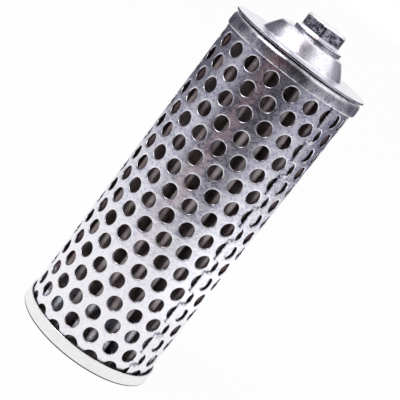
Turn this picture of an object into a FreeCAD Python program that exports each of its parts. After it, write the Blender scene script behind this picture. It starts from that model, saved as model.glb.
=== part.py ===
import FreeCAD, Part
import math
import os
import Sketcher

# Hydraulic return filter element: pleated mesh between a perforated core and a perforated
# outer sleeve, closed by two pressed end caps, with a sprung bypass valve under the domed cover.
# The origin is the middle of the underside, +Z runs up the axis and -Y is the front.

doc = FreeCAD.newDocument("hydraulic_filter")

# Every driving size in millimetres, degrees or a plain count, one row each in the sheet.
SIZES = [
    ("cap_wall", 0.5, "sheet of both end caps"),
    ("rim_clearance", 0.2, "bottom cap's rim round the sleeve"),
    ("bottom_taper", 0.2, "bottom cap wider at its corner than at its rim"),
    ("bottom_cap_height", 5.4, "bottom cap from floor to rim"),
    ("bottom_corner", 0.6, "outer corner rounding of the bottom cap"),
    ("lip_clearance", 0.05, "top cap's rolled-in lip round the sleeve"),
    ("top_bulge", 0.25, "top cap wider at its fullest than at its lip"),
    ("top_cap_height", 5.55, "top cap from lip to plate"),
    ("top_corner", 1.5, "shoulder rounding of the top cap"),
    ("lip_length", 0.9, "height over which the lip turns in"),
    ("body_height", 141.3, "underside to the top cap's plate"),
    ("neck_radius", 15.0, "outside of the inlet neck and of the valve well"),
    ("neck_height", 8.0, "inlet neck above the floor's underside"),
    ("well_depth", 12.0, "valve well below the top cap's plate"),
    ("seat_lap", 1.0, "valve disc beyond the seat's hole, where it laps least"),
    ("sleeve_radius", 29.3, "outside of the rolled sleeve at its outer edge"),
    ("sleeve_sheet", 0.6, "perforated sheet"),
    ("lap_gap", 0.12, "between the two layers at the lap"),
    ("lap_length", 7.5, "the most that the sheet laps over its own start"),
    ("sleeve_shift", 0.4, "sleeve off the axis, to the left"),
    ("seam_angle", -42.4, "direction of the sleeve's outer cut edge, from +X"),
    ("hole_radius", 3.3, "corner radius of the six-sided punch, equal in area to a 6 mm hole"),
    ("hole_sides", 6, "sides of the punch, an even count"),
    ("hole_pitch", 9.31, "columns of holes along the sheet"),
    ("row_pitch", 7.93, "rows of holes up the sheet"),
    ("first_row", 4.45, "lowest row above the underside"),
    ("row_margin", 2.0, "least sheet above the topmost holes of sleeve and core"),
    ("edge_margin", 1.3, "sheet's cut edge beside the first column of holes"),
    ("core_clearance", 0.1, "core tube round the neck and the valve well"),
    ("core_wall", 0.8, "core tube sheet"),
    ("core_folds", 12, "flats of the core tube, an even count"),
    ("core_hole_radius", 3.4, "corner radius of the core's punch"),
    ("core_first_row", 6.0, "lowest core row above the inlet neck"),
    ("core_row_pitch", 13.6, "rows of core holes"),
    ("pleat_count", 25, "pleats in the pack"),
    ("pack_turn", 10.24, "seam's pleat beside the back, in degrees about the axis"),
    ("pleat_clearance", 0.38, "pleat tips inside the lapped sleeve"),
    ("root_clearance", 0.5, "pleat roots outside the core tube"),
    ("fold_half_width", 1.05, "half the width of a fold"),
    ("mesh_sheet", 0.2, "woven support mesh"),
    ("media_sheet", 0.4, "filter media between the meshes"),
    ("resin_height", 5.0, "underside to the top of the lower resin"),
    ("resin_depth", 5.5, "top resin below the top cap's plate"),
    ("resin_cover", 0.1, "resin beyond the pleat tips"),
    ("resin_gap", 0.05, "resin ring round the core tube"),
    ("clip_sheet", 0.3, "clip folded over the pack's side seam"),
    ("clip_depth", 3.2, "clip along the seam's pleat"),
    ("clip_clearance", 0.05, "clip round the pleat that it holds"),
    ("seal_wall", 2.0, "rubber between the neck and the spigot"),
    ("seal_flange", 1.2, "seal flange on the neck's edge"),
    ("seal_recess", 0.9, "seal's lower edge above the underside"),
    ("cover_sheet", 0.8, "domed cover"),
    ("cover_gap", 0.35, "slot between cover and top cap, where the oil leaves"),
    ("dome_foot", 18.5, "dome's side where it meets the flange"),
    ("dome_shoulder", 13.15, "dome's side where it meets the flat top"),
    ("dome_height", 7.2, "dome above the flange"),
    ("dome_foot_round", 1.6, "rounding at the foot, on top"),
    ("dome_shoulder_round", 3.5, "rounding at the shoulder, on top"),
    ("bolt_radius", 5.0, "bolt shank, M10"),
    ("bolt_length", 40.0, "bolt under its head"),
    ("bolt_point", 1.0, "chamfer at the bolt's end"),
    ("across_flats", 17.0, "bolt head and nut"),
    ("head_height", 6.35, "bolt head"),
    ("nut_height", 8.0, "nut"),
    ("hex_chamfer", 0.9, "height of the corner chamfer on head and nut"),
    ("bolt_clearance", 0.15, "round the bolt in the pieces that it holds"),
    ("bolt_offset", 1.25, "bolt and valve off the axis, to the right"),
    ("washer_shift", 0.4, "flat washer off the bolt, to the right"),
    ("washer_radius", 10.6, "flat washer under the bolt head"),
    ("washer_height", 1.5, "flat washer"),
    ("lock_washer_radius", 8.0, "split washer over the nut"),
    ("lock_washer_height", 2.0, "split washer"),
    ("lock_washer_gap", 1.5, "gap in the split washer"),
    ("guide_wall", 1.35, "wall of the guide sleeve"),
    ("slide_clearance", 0.08, "poppet on the guide sleeve"),
    ("spring_seat_margin", 0.6, "washer beyond the spring's outside"),
    ("spring_seat_height", 0.8, "washer between spring and dome"),
    ("spring_gap", 0.3, "spring round the poppet's hub"),
    ("spring_wire", 1.4, "spring wire diameter"),
    ("spring_turns", 5.5, "turns of the spring"),
    ("poppet_gap", 0.5, "valve disc inside the well"),
    ("poppet_height", 1.6, "valve disc"),
    ("hub_wall", 1.0, "wall of the valve disc's guide hub"),
    ("hub_height", 6.0, "valve disc's guide hub above the disc"),
    ("poppet_seal_margin", 0.3, "rubber ring inside the seat's hole"),
    ("poppet_seal_height", 1.0, "rubber ring under the disc"),
    ("seat_gap", 0.05, "rubber ring above the seat"),
    ("spider_height", 2.0, "spider under the seat"),
    ("spider_inset", 0.6, "spider rim inside the core tube"),
    ("spider_rim", 2.3, "spider rim's width"),
    ("spider_hub", 8.0, "spider hub"),
    ("spider_arm", 4.0, "spider arm's width"),
    ("spider_arms", 3, "spider arms"),
]

sheet = doc.addObject("Spreadsheet::Sheet", "Sizes")
for number, (alias, value, meaning) in enumerate(SIZES, start=1):
    sheet.set(f"A{number}", meaning)
    sheet.set(f"B{number}", str(value))
    sheet.setAlias(f"B{number}", alias)
doc.recompute()


class Size:
    """A length that knows its value now and the formula on the sheet that it comes from."""

    def __init__(self, value, formula):
        self.value = value
        self.formula = formula

    def joined(self, sign, other, value):
        other_formula = other.formula if isinstance(other, Size) else str(other)
        return Size(value, f"({self.formula} {sign} {other_formula})")

    def __float__(self):
        return float(self.value)

    def __add__(self, other):
        return self.joined("+", other, self.value + float(other))

    def __sub__(self, other):
        return self.joined("-", other, self.value - float(other))

    def __mul__(self, other):
        return self.joined("*", other, self.value * float(other))

    def __truediv__(self, other):
        return self.joined("/", other, self.value / float(other))

    def root(self):
        return Size(math.sqrt(self.value), f"sqrt({self.formula})")


class Table:
    """The sheet's cells by name, each as a Size."""

    def __getattr__(self, alias):
        return Size(float(sheet.get(alias)), f"Sizes.{alias}")


size = Table()
nodes = []


def node(thing, label):
    """Give a finished sub-part the name of its file."""
    thing.Label = label
    nodes.append(thing)
    return thing


def bind(thing, **formulas):
    """Tie properties of an object to the sheet."""
    for name, length in formulas.items():
        thing.setExpression(name, length.formula)
    return thing


def origin_plane(body, role):
    return next(item for item in body.Origin.OriginFeatures if item.Role == role)


def outline_sketch(body, name, role, points):
    """A closed outline of straight lines through points, each coordinate tied to the sheet."""
    sketch = body.newObject("Sketcher::SketchObject", name)
    sketch.AttachmentSupport = [(origin_plane(body, role), "")]
    sketch.MapMode = "FlatFace"
    spots = [FreeCAD.Vector(float(across), float(up), 0) for across, up in points]
    for start, end in zip(spots, spots[1:] + spots[:1]):
        sketch.addGeometry(Part.LineSegment(start, end), False)
    count = len(points)
    for line in range(count):
        sketch.addConstraint(Sketcher.Constraint("Coincident", line, 2, (line + 1) % count, 1))
    for line, (across, up) in enumerate(points):
        for kind, axis, length in (("DistanceX", -2, across), ("DistanceY", -1, up)):
            if not isinstance(length, Size):
                sketch.addConstraint(Sketcher.Constraint("PointOnObject", line, 1, axis))
                continue
            index = sketch.addConstraint(Sketcher.Constraint(kind, -1, 1, line, 1, float(length)))
            sketch.setExpression(f"Constraints[{index}]", length.formula)
    return sketch


def turned(name, points):
    """A body turned about Z from points of radius and height, where 0 is the axis or the base."""
    body = doc.addObject("PartDesign::Body", name)
    sketch = outline_sketch(body, name + "_outline", "XZ_Plane", points)
    turn = body.newObject("PartDesign::Revolution", name + "_turn")
    turn.Profile = sketch
    turn.ReferenceAxis = (sketch, ["V_Axis"])
    turn.Angle = 360
    sketch.Visibility = False
    doc.recompute()
    return body


def rounded(body, radius, corners):
    """Round the ring edges of a turned body that lie at the given radius and height."""
    base = body.Tip
    names = []
    for across, up in corners:
        for number, edge in enumerate(base.Shape.Edges, start=1):
            circle = edge.Curve
            if (isinstance(circle, Part.Circle) and abs(circle.Radius - float(across)) < 1e-4
                    and abs(circle.Center.z - float(up)) < 1e-4):
                names.append(f"Edge{number}")
    fillet = body.newObject("PartDesign::Fillet", body.Name + "_round")
    fillet.Base = (base, names)
    bind(fillet, Radius=radius)
    doc.recompute()
    return body


def washer(name, inside, outside, bottom, height):
    """A flat ring."""
    top = bottom + height
    return turned(name, [(inside, bottom), (outside, bottom), (outside, top), (inside, top)])


def beside_axis(thing, shift=None):
    """Stand a piece of the bolt and valve off the axis with the bolt, and on by a shift of its own."""
    offset = size.bolt_offset + shift if shift else size.bolt_offset
    thing.setExpression("Placement.Base.x", offset.formula)
    return thing


def hexagonal(name, envelope, bottom, height):
    """A hexagon across the flats, cut to the shape of a turned envelope."""
    prism = doc.addObject("Part::Prism", name + "_hexagon")
    prism.Polygon = 6
    bind(prism, Circumradius=size.across_flats / 3 ** 0.5, Height=height)
    prism.setExpression("Placement.Base.z", bottom.formula)
    # One corner of the hexagon faces the front.
    prism.Placement.Rotation = FreeCAD.Rotation(FreeCAD.Vector(0, 0, 1), 90)
    common = doc.addObject("Part::Common", name + "_common")
    common.Base = envelope
    common.Tool = prism
    return common


# Heights that several pieces share.
plate = size.body_height
plate_under = plate - size.cap_wall
lip = plate - size.top_cap_height
well_floor = plate - size.well_depth
well_under = well_floor - size.cap_wall
cover_under = plate + size.cover_gap
cover_top = cover_under + size.cover_sheet
dome_top = cover_top + size.dome_height
dome_under = dome_top - size.cover_sheet
neck_inside = size.neck_radius - size.cap_wall
under_corner = plate - size.top_corner

# Radii that several pieces share.
lip_radius = size.sleeve_radius + size.lip_clearance + size.cap_wall
top_cap_radius = lip_radius + size.top_bulge
rim_radius = size.sleeve_radius + size.rim_clearance + size.cap_wall
bottom_cap_radius = rim_radius + size.bottom_taper
pleat_half = size.media_sheet / 2 + size.mesh_sheet
sleeve_inside = size.sleeve_radius - size.sleeve_sheet * 2 - size.lap_gap - size.sleeve_shift
pack_radius = sleeve_inside - size.pleat_clearance
pleat_radius = pack_radius - pleat_half
core_flat_radius = size.neck_radius + size.core_clearance + size.core_wall
core_radius = core_flat_radius / math.cos(math.pi / float(size.core_folds))
pleat_root = core_radius + size.root_clearance + pleat_half
root_half_width = pleat_root * math.sin(math.pi / float(size.pleat_count)) - size.fold_half_width
pleat_half_width = max(size.fold_half_width, root_half_width, key=float) + pleat_half
bolt_hole = size.bolt_radius + size.bolt_clearance
guide_radius = bolt_hole + size.guide_wall
poppet_bore = guide_radius + size.slide_clearance
hub_radius = poppet_bore + size.hub_wall
spring_radius = hub_radius + size.spring_gap + size.spring_wire / 2
spring_seat_radius = spring_radius + size.spring_wire / 2 + size.spring_seat_margin
poppet_radius = neck_inside - size.bolt_offset - size.poppet_gap
seat_radius = poppet_radius - size.bolt_offset - size.seat_lap
spider_radius = size.neck_radius - size.bolt_offset - size.spider_inset

# Bottom end cap: one pressed cup whose floor is drawn up into the inlet neck.
bottom_cap = turned("bottom_end_cap", [
    (neck_inside, 0),
    (bottom_cap_radius, 0),
    (rim_radius, size.bottom_cap_height),
    (rim_radius - size.cap_wall, size.bottom_cap_height),
    (bottom_cap_radius - size.cap_wall, size.cap_wall),
    (size.neck_radius, size.cap_wall),
    (size.neck_radius, size.neck_height),
    (neck_inside, size.neck_height),
])
rounded(bottom_cap, size.bottom_corner, [(bottom_cap_radius, 0), (neck_inside, 0)])
node(bottom_cap, "bottom_end_cap")

# Top end cap: a pressed cup with a rolled-in lip and the valve well drawn down in its middle.
top_cap = turned("top_end_cap", [
    (seat_radius, well_under),
    (size.neck_radius, well_under),
    (size.neck_radius, plate_under),
    (lip_radius - size.cap_wall, plate_under),
    (top_cap_radius - size.cap_wall, lip + size.lip_length),
    (lip_radius - size.cap_wall, lip),
    (lip_radius, lip),
    (top_cap_radius, lip + size.lip_length),
    (lip_radius, plate),
    (neck_inside, plate),
    (neck_inside, well_floor),
    (seat_radius, well_floor),
])
rounded(top_cap, size.top_corner, [(lip_radius, plate), (neck_inside, plate)])
rounded(top_cap, size.top_corner - size.cap_wall,
        [(lip_radius - size.cap_wall, plate_under), (size.neck_radius, plate_under)])
node(top_cap, "top_end_cap")


# The perforated sheets. Each is a polygon of flats half a hole pitch wide, so that every column
# of holes stands on a fold and each flat carries the half holes of the folds on its two sides.
def half_hole(radius, sides, cut=None):
    """Points of one half of a punch, from its top corner to its bottom one, as (out, up)."""
    points = []
    for step in range(sides // 2 + 1):
        turn = 2 * math.pi * step / sides
        points.append((radius * math.sin(turn), radius * math.cos(turn)))
    if cut is None:
        return points
    # Where the sheet's cut edge runs through the hole, only the parts inside the sheet stay.
    top_up = points[0][1]
    corner_out, corner_up = points[1]
    up_cut = top_up + (corner_up - top_up) * cut / corner_out
    return [points[0], (cut, up_cut), (cut, -up_cut), points[-1]]


def face(points):
    return Part.Face(Part.makePolygon(points + points[:1]))


class PerforatedSheet:
    """A folded sheet: corners of its outside and inside, and the rows of holes on each fold."""

    def __init__(self, corners, closed, wall, radius):
        self.closed = closed
        self.radius, self.sides = radius, int(float(size.hole_sides))
        # Both sheets stand on the bottom cap's floor and end where the top cap's corner begins.
        self.bottom, self.top = float(size.cap_wall), float(under_corner)
        self.outside = corners
        count = len(corners)
        self.inside, self.shift = [], []
        for k, corner in enumerate(corners):
            before = corners[k - 1] if closed or k > 0 else None
            after = corners[(k + 1) % count] if closed or k < count - 1 else None
            along = (corner - before if before else after - corner).normalize()
            ahead = (after - corner if after else along * 1.0).normalize()
            half = along.getAngle(ahead) / 2 if before and after else 0.0
            bisector = (along + ahead).normalize()
            inward = FreeCAD.Vector(-bisector.y, bisector.x, 0)
            self.inside.append(corner + inward * (wall / math.cos(half)))
            # How much shorter the inner flat is at this corner.
            self.shift.append(wall * math.tan(half))

    def spots(self, fold, towards, height, cut=None):
        """The half hole on one flat, as matching points outside and inside."""
        step = (self.outside[towards] - self.outside[fold]).normalize()
        inward = FreeCAD.Vector(-step.y, step.x, 0)
        if (self.inside[fold] - self.outside[fold]).dot(inward) < 0:
            inward = inward * -1
        depth = (self.inside[fold] - self.outside[fold]).dot(inward)
        half = half_hole(self.radius, self.sides, cut)
        slope = (half[1][1] - half[0][1]) / half[1][0]
        outer, inner = [], []
        for number, (out, up) in enumerate(half):
            on_fold = number in (0, len(half) - 1)
            z = FreeCAD.Vector(0, 0, height + up)
            outer.append(self.outside[fold] + step * out + z)
            if on_fold:
                drop = slope * self.shift[fold] * (1 if up > 0 else -1)
                inner.append(self.inside[fold] + FreeCAD.Vector(0, 0, height + up + drop))
            else:
                inner.append(self.outside[fold] + step * out + inward * depth + z)
        return outer, inner

    def walls(self, outer, inner):
        return [face([outer[n], outer[n + 1], inner[n + 1], inner[n]]) for n in range(len(outer) - 1)]

    def flat(self, left, right, rows):
        """One flat between two folds: its outside, its inside and the walls of its half holes."""
        sides = {}
        faces = []
        for fold, towards in ((left, right), (right, left)):
            outer_edge, inner_edge = [], []
            for height in rows[fold]:
                outer, inner = self.spots(fold, towards, height)
                faces += self.walls(outer, inner)
                outer_edge += outer
                inner_edge += inner
            sides[fold] = (outer_edge, inner_edge)
        for layer, corner in ((0, self.outside), (1, self.inside)):
            low, high = FreeCAD.Vector(0, 0, self.bottom), FreeCAD.Vector(0, 0, self.top)
            border = [corner[left] + high] + sides[left][layer] + [corner[left] + low]
            border += [corner[right] + low] + sides[right][layer][::-1] + [corner[right] + high]
            faces.append(face(border))
        return faces

    def tabs(self, fold, edge, rows, margin):
        """The narrow flat beyond the first or last fold, cut into tabs by the holes it crosses."""
        faces = []
        low, high = FreeCAD.Vector(0, 0, self.bottom), FreeCAD.Vector(0, 0, self.top)
        cuts = [self.spots(fold, edge, height, margin) for height in rows[fold]]
        tops = [(self.outside[fold] + high, self.outside[edge] + high, self.inside[fold] + high,
                 self.inside[edge] + high)]
        tops += [(o[3], o[2], i[3], i[2]) for o, i in cuts]
        feet = [(o[0], o[1], i[0], i[1]) for o, i in cuts]
        feet += [(self.outside[fold] + low, self.outside[edge] + low, self.inside[fold] + low,
                  self.inside[edge] + low)]
        for tab_top, tab_foot in zip(tops, feet):
            fold_top, edge_top, in_fold_top, in_edge_top = tab_top
            fold_low, edge_low, in_fold_low, in_edge_low = tab_foot
            faces.append(face([fold_top, edge_top, edge_low, fold_low]))
            faces.append(face([in_fold_top, in_edge_top, in_edge_low, in_fold_low]))
            faces.append(face([edge_top, in_edge_top, in_edge_low, edge_low]))
        for outer, inner in cuts:
            faces.append(face([outer[0], outer[1], inner[1], inner[0]]))
            faces.append(face([outer[2], outer[3], inner[3], inner[2]]))
        return faces

    def rims(self):
        """The sheet's two long edges, at its bottom and top."""
        faces = []
        for height in (self.bottom, self.top):
            z = FreeCAD.Vector(0, 0, height)
            outer = [corner + z for corner in self.outside]
            inner = [corner + z for corner in self.inside]
            if self.closed:
                rings = [Part.makePolygon(outer + outer[:1]), Part.makePolygon(inner + inner[:1])]
                faces.append(Part.Face(rings, "Part::FaceMakerBullseye"))
            else:
                faces.append(face(outer + inner[::-1]))
        return faces

    def solid(self, faces):
        shell = Part.makeShell(faces)
        shape = Part.Solid(shell)
        if shape.Volume < 0:
            shape.reverse()
        return shape


def row_heights(first, pitch, highest, fold):
    """Rows that stand on a fold, topmost first: the lowest row and every second above it on an
    even fold, and the rows between on an odd one."""
    count = int((highest - first) / pitch) + 1
    return [first + pitch * row for row in range(fold % 2, count, 2)][::-1]


# Outer sleeve: the sheet is rolled a little over one turn, so its cut edge laps over its own start.
def rolled_sleeve():
    radius, step = float(size.sleeve_radius), float(size.sleeve_sheet + size.lap_gap)
    half_pitch, margin = float(size.hole_pitch) / 2, float(size.edge_margin)
    longest = 2 * math.pi * (radius - step / 2) + float(size.lap_length)
    folds = 1 + int((longest - 2 * margin) / half_pitch)
    turn, corners = 0.0, []

    def corner():
        reach = radius - step * turn / (2 * math.pi)
        angle = math.radians(float(size.seam_angle)) + turn
        return FreeCAD.Vector(reach * math.cos(angle), reach * math.sin(angle), 0)

    corners.append(corner())
    for length in [margin] + [half_pitch] * (folds - 1) + [margin]:
        reach = radius - step * turn / (2 * math.pi)
        turn += 2 * math.asin(length / (2 * reach))
        corners.append(corner())
    part = PerforatedSheet(corners, False, float(size.sleeve_sheet), float(size.hole_radius))
    # The cut edges run through the holes of the first fold and of the last.
    highest = float(under_corner - size.hole_radius - size.row_margin)
    rows = {fold: row_heights(float(size.first_row), float(size.row_pitch), highest, fold)
            for fold in range(1, folds + 1)}
    faces = part.tabs(1, 0, rows, margin) + part.tabs(folds, folds + 1, rows, margin)
    for fold in range(1, folds):
        faces += part.flat(fold, fold + 1, rows)
    return part.solid(faces + part.rims())


sleeve = doc.addObject("Part::Feature", "outer_sleeve")
sleeve.Shape = rolled_sleeve()
sleeve.setExpression("Placement.Base.x", (size.sleeve_shift * -1).formula)
node(sleeve, "outer_sleeve")


# Core tube: the same kind of sheet, welded into a closed tube that locates on neck and well.
def welded_core():
    radius, folds = float(core_radius), int(float(size.core_folds))
    corners = [FreeCAD.Vector(radius * math.cos(turn), radius * math.sin(turn), 0)
               for turn in (2 * math.pi * fold / folds for fold in range(folds))]
    part = PerforatedSheet(corners, True, float(size.core_wall), float(size.core_hole_radius))
    lowest = float(size.neck_height + size.core_first_row)
    highest = float(well_under - size.core_hole_radius - size.row_margin)
    rows = {fold: row_heights(lowest, float(size.core_row_pitch), highest, fold)
            for fold in range(folds)}
    faces = []
    for fold in range(folds):
        faces += part.flat(fold, (fold + 1) % folds, rows)
    return part.solid(faces + part.rims())


core = doc.addObject("Part::Feature", "core_tube")
core.Shape = welded_core()
node(core, "core_tube")


# Pleat pack: media folded together with a woven mesh on each side. Each layer is a closed star.
def star(offset):
    """Outline of the pack at a distance outside the middle of its sheet, the seam's pleat first."""
    count, half_width = int(float(size.pleat_count)), float(size.fold_half_width)
    tip, root = float(pleat_radius) + offset, float(pleat_root) + offset
    points = []
    for pleat in range(count):
        folds = ((tip, half_width + offset, pleat), (root, half_width - offset, pleat + 0.5))
        for reach, across, turn in folds:
            angle = 2 * math.pi * turn / count
            out = FreeCAD.Vector(-math.sin(angle), math.cos(angle), 0)
            side = FreeCAD.Vector(-math.cos(angle), -math.sin(angle), 0)
            points += [out * reach - side * across, out * reach + side * across]
    return Part.makePolygon(points + points[:1])


def stood(thing):
    """Stand a piece of the pack on the resin and turn it to where the seam's pleat is."""
    thing.setExpression("Placement.Base.z", size.resin_height.formula)
    thing.setExpression("Placement.Rotation.Angle", f"{size.pack_turn.formula} * 1 deg")
    return thing


def pleated(name, inner, outer):
    """One layer of the pack, between two distances from the middle of the sheet."""
    layer = doc.addObject("Part::Feature", name)
    ring = Part.Face([star(outer), star(inner)], "Part::FaceMakerBullseye")
    length = float(plate - size.resin_depth - size.resin_height)
    layer.Shape = ring.extrude(FreeCAD.Vector(0, 0, length))
    return node(stood(layer), name)


media_half = float(size.media_sheet) / 2
mesh = float(size.mesh_sheet)
pleated("filter_media", -media_half, media_half)
pleated("outer_support_mesh", media_half, media_half + mesh)
pleated("inner_support_mesh", -media_half - mesh, -media_half)

# Seam clip: a strip folded over the pleat near the back, in which the two ends of the pack meet.
clip = doc.addObject("PartDesign::Body", "pleat_seam_clip")
half_slot = pleat_half_width + size.clip_clearance
half_clip = half_slot + size.clip_sheet
clip_bend = pack_radius + size.clip_clearance
clip_out = clip_bend + size.clip_sheet
clip_in = pack_radius - size.clip_depth
clip_outline = outline_sketch(clip, "clip_outline", "XY_Plane", [
    (half_clip * -1, clip_in), (half_clip * -1, clip_out), (half_clip, clip_out), (half_clip, clip_in),
    (half_slot, clip_in), (half_slot, clip_bend), (half_slot * -1, clip_bend), (half_slot * -1, clip_in),
])
clip_pad = clip.newObject("PartDesign::Pad", "clip_strip")
clip_pad.Profile = clip_outline
bind(clip_pad, Length=plate - size.resin_depth - size.resin_height)
clip_outline.Visibility = False
doc.recompute()
node(stood(clip), "pleat_seam_clip")

# Resin rings that bond the pack's ends into the caps.
resin_inside = core_radius + size.resin_gap
resin_outside = pack_radius + size.resin_cover
lower_resin_height = size.resin_height - size.cap_wall
upper_resin_height = size.resin_depth - size.cap_wall
lower_resin = washer("bottom_resin", resin_inside, resin_outside, size.cap_wall, lower_resin_height)
node(lower_resin, "bottom_resin")
upper_resin = washer("top_resin", resin_inside, resin_outside, plate - size.resin_depth, upper_resin_height)
node(upper_resin, "top_resin")

# Inlet seal: a rubber sleeve in the neck, with a flange over the neck's edge.
seal_bore = neck_inside - size.seal_wall
node(turned("inlet_seal", [
    (seal_bore, size.seal_recess),
    (neck_inside, size.seal_recess),
    (neck_inside, size.neck_height),
    (size.neck_radius, size.neck_height),
    (size.neck_radius, size.neck_height + size.seal_flange),
    (seal_bore, size.neck_height + size.seal_flange),
]), "inlet_seal")

# Valve cover: one pressed disc with a domed middle, held by the bolt clear of the top cap.
dome_run = size.dome_foot - size.dome_shoulder
dome_side = (dome_run * dome_run + size.dome_height * size.dome_height).root()
dome_shift = size.cover_sheet * (dome_side - dome_run) / size.dome_height
cover_hole = bolt_hole + size.bolt_offset
cover = turned("valve_cover", [
    (cover_hole, dome_under),
    (size.dome_shoulder - dome_shift, dome_under),
    (size.dome_foot - dome_shift, cover_under),
    (top_cap_radius, cover_under),
    (top_cap_radius, cover_top),
    (size.dome_foot, cover_top),
    (size.dome_shoulder, dome_top),
    (cover_hole, dome_top),
])
rounded(cover, size.dome_foot_round, [(size.dome_foot, cover_top)])
rounded(cover, size.dome_foot_round + size.cover_sheet, [(size.dome_foot - dome_shift, cover_under)])
rounded(cover, size.dome_shoulder_round, [(size.dome_shoulder, dome_top)])
rounded(cover, size.dome_shoulder_round - size.cover_sheet, [(size.dome_shoulder - dome_shift, dome_under)])
node(cover, "valve_cover")

# Flat washer and bolt: the head clamps the dome, and the shank runs down the valve's middle.
washer_top = dome_top + size.washer_height
washer_hole = bolt_hole + size.washer_shift
cover_washer = washer("cover_washer", washer_hole, size.washer_radius, dome_top, size.washer_height)
node(beside_axis(cover_washer, size.washer_shift), "cover_washer")

corner_radius = size.across_flats / 3 ** 0.5
head_top = washer_top + size.head_height
bolt_end = washer_top - size.bolt_length
bolt_envelope = turned("bolt_envelope", [
    (0, bolt_end),
    (size.bolt_radius - size.bolt_point, bolt_end),
    (size.bolt_radius, bolt_end + size.bolt_point),
    (size.bolt_radius, washer_top),
    (corner_radius + size.hex_chamfer, washer_top),
    (corner_radius + size.hex_chamfer, head_top - size.hex_chamfer),
    (size.across_flats / 2 - size.hex_chamfer / 3, head_top),
    (0, head_top),
])
bolt = hexagonal("cover_bolt", bolt_envelope, bolt_end, head_top - bolt_end)
node(beside_axis(bolt), "cover_bolt")

# Guide sleeve: the spacer that takes the bolt's clamping force and guides the poppet.
spring_seat_under = dome_under - size.spring_seat_height
upper_seat = washer("upper_spring_seat", bolt_hole, spring_seat_radius, spring_seat_under,
                    size.spring_seat_height)
node(beside_axis(upper_seat), "upper_spring_seat")
guide = washer("guide_sleeve", bolt_hole, guide_radius, well_under, spring_seat_under - well_under)
node(beside_axis(guide), "guide_sleeve")

# Spider: rim, hub and arms under the valve seat, where the bolt pulls up.
spider_under = well_under - size.spider_height
spider_rim = washer("spider_ring", spider_radius - size.spider_rim, spider_radius, spider_under,
                    size.spider_height)
spider_hub = washer("spider_middle", bolt_hole, size.spider_hub, spider_under, size.spider_height)
arm_count = int(float(size.spider_arms))
spider_pieces = [spider_rim, spider_hub]
for number in range(arm_count):
    arm = doc.addObject("Part::Box", f"spider_arm_{number + 1}")
    bind(arm, Length=spider_radius - size.spider_hub - size.spider_rim / 2 + size.bolt_clearance,
         Width=size.spider_arm, Height=size.spider_height)
    turn = 360 / arm_count * number
    start = float(size.spider_hub - size.bolt_clearance)
    side = float(size.spider_arm) / 2
    rotation = FreeCAD.Rotation(FreeCAD.Vector(0, 0, 1), turn)
    place = rotation.multVec(FreeCAD.Vector(start, -side, 0)) + FreeCAD.Vector(0, 0, float(spider_under))
    arm.Placement = FreeCAD.Placement(place, rotation)
    spider_pieces.append(arm)
spider = doc.addObject("Part::MultiFuse", "valve_spider")
spider.Shapes = spider_pieces
node(beside_axis(spider), "valve_spider")

# Split washer and nut under the spider.
lock_washer_under = spider_under - size.lock_washer_height
lock_ring = washer("lock_ring", bolt_hole, size.lock_washer_radius, lock_washer_under,
                   size.lock_washer_height)
lock_slot = doc.addObject("Part::Box", "lock_slot")
bind(lock_slot, Length=size.lock_washer_radius * 2, Width=size.lock_washer_gap,
     Height=size.lock_washer_height * 2)
lock_slot.setExpression("Placement.Base.y", (size.lock_washer_gap / -2).formula)
lock_slot.setExpression("Placement.Base.z", (lock_washer_under - size.lock_washer_height / 2).formula)
lock_washer = doc.addObject("Part::Cut", "split_washer")
lock_washer.Base = lock_ring
lock_washer.Tool = lock_slot
node(beside_axis(lock_washer), "split_washer")

nut_under = lock_washer_under - size.nut_height
nut_flat = size.across_flats / 2 - size.hex_chamfer / 3
nut_envelope = turned("nut_envelope", [
    (bolt_hole, nut_under),
    (nut_flat, nut_under),
    (corner_radius + size.hex_chamfer, nut_under + size.hex_chamfer),
    (corner_radius + size.hex_chamfer, lock_washer_under - size.hex_chamfer),
    (nut_flat, lock_washer_under),
    (bolt_hole, lock_washer_under),
])
node(beside_axis(hexagonal("lock_nut", nut_envelope, nut_under, size.nut_height)), "lock_nut")

# Bypass poppet: a disc with a guide hub, and the rubber ring that closes on the seat.
seal_under = well_floor + size.seat_gap
poppet_under = seal_under + size.poppet_seal_height
poppet_top = poppet_under + size.poppet_height
poppet = turned("bypass_poppet", [
    (poppet_bore, poppet_under),
    (poppet_radius, poppet_under),
    (poppet_radius, poppet_top),
    (hub_radius, poppet_top),
    (hub_radius, poppet_top + size.hub_height),
    (poppet_bore, poppet_top + size.hub_height),
])
node(beside_axis(poppet), "bypass_poppet")
poppet_seal_hole = seat_radius - size.bolt_offset - size.poppet_seal_margin
poppet_seal = washer("poppet_seal", poppet_seal_hole, poppet_radius, seal_under, size.poppet_seal_height)
node(beside_axis(poppet_seal), "poppet_seal")

# Bypass spring between the poppet and the seat washer under the dome.
half_wire = size.spring_wire / 2
coil = doc.addObject("Part::Helix", "spring_path")
coil_height = spring_seat_under - poppet_top - size.spring_wire
bind(coil, Radius=spring_radius, Height=coil_height, Pitch=coil_height / size.spring_turns)
coil.setExpression("Placement.Base.z", (poppet_top + half_wire).formula)
wire = doc.addObject("Part::RegularPolygon", "spring_section")
wire.Polygon = 8
bind(wire, Circumradius=half_wire)
wire.Placement.Rotation = FreeCAD.Rotation(FreeCAD.Vector(1, 0, 0), 90)
beside_axis(coil)
beside_axis(wire, spring_radius)
wire.setExpression("Placement.Base.z", (poppet_top + half_wire).formula)
spring = doc.addObject("Part::Sweep", "bypass_spring")
spring.Sections = [wire]
spring.Spine = (coil, [])
spring.Solid = True
spring.Frenet = True
node(spring, "bypass_spring")

doc.recompute()

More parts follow.
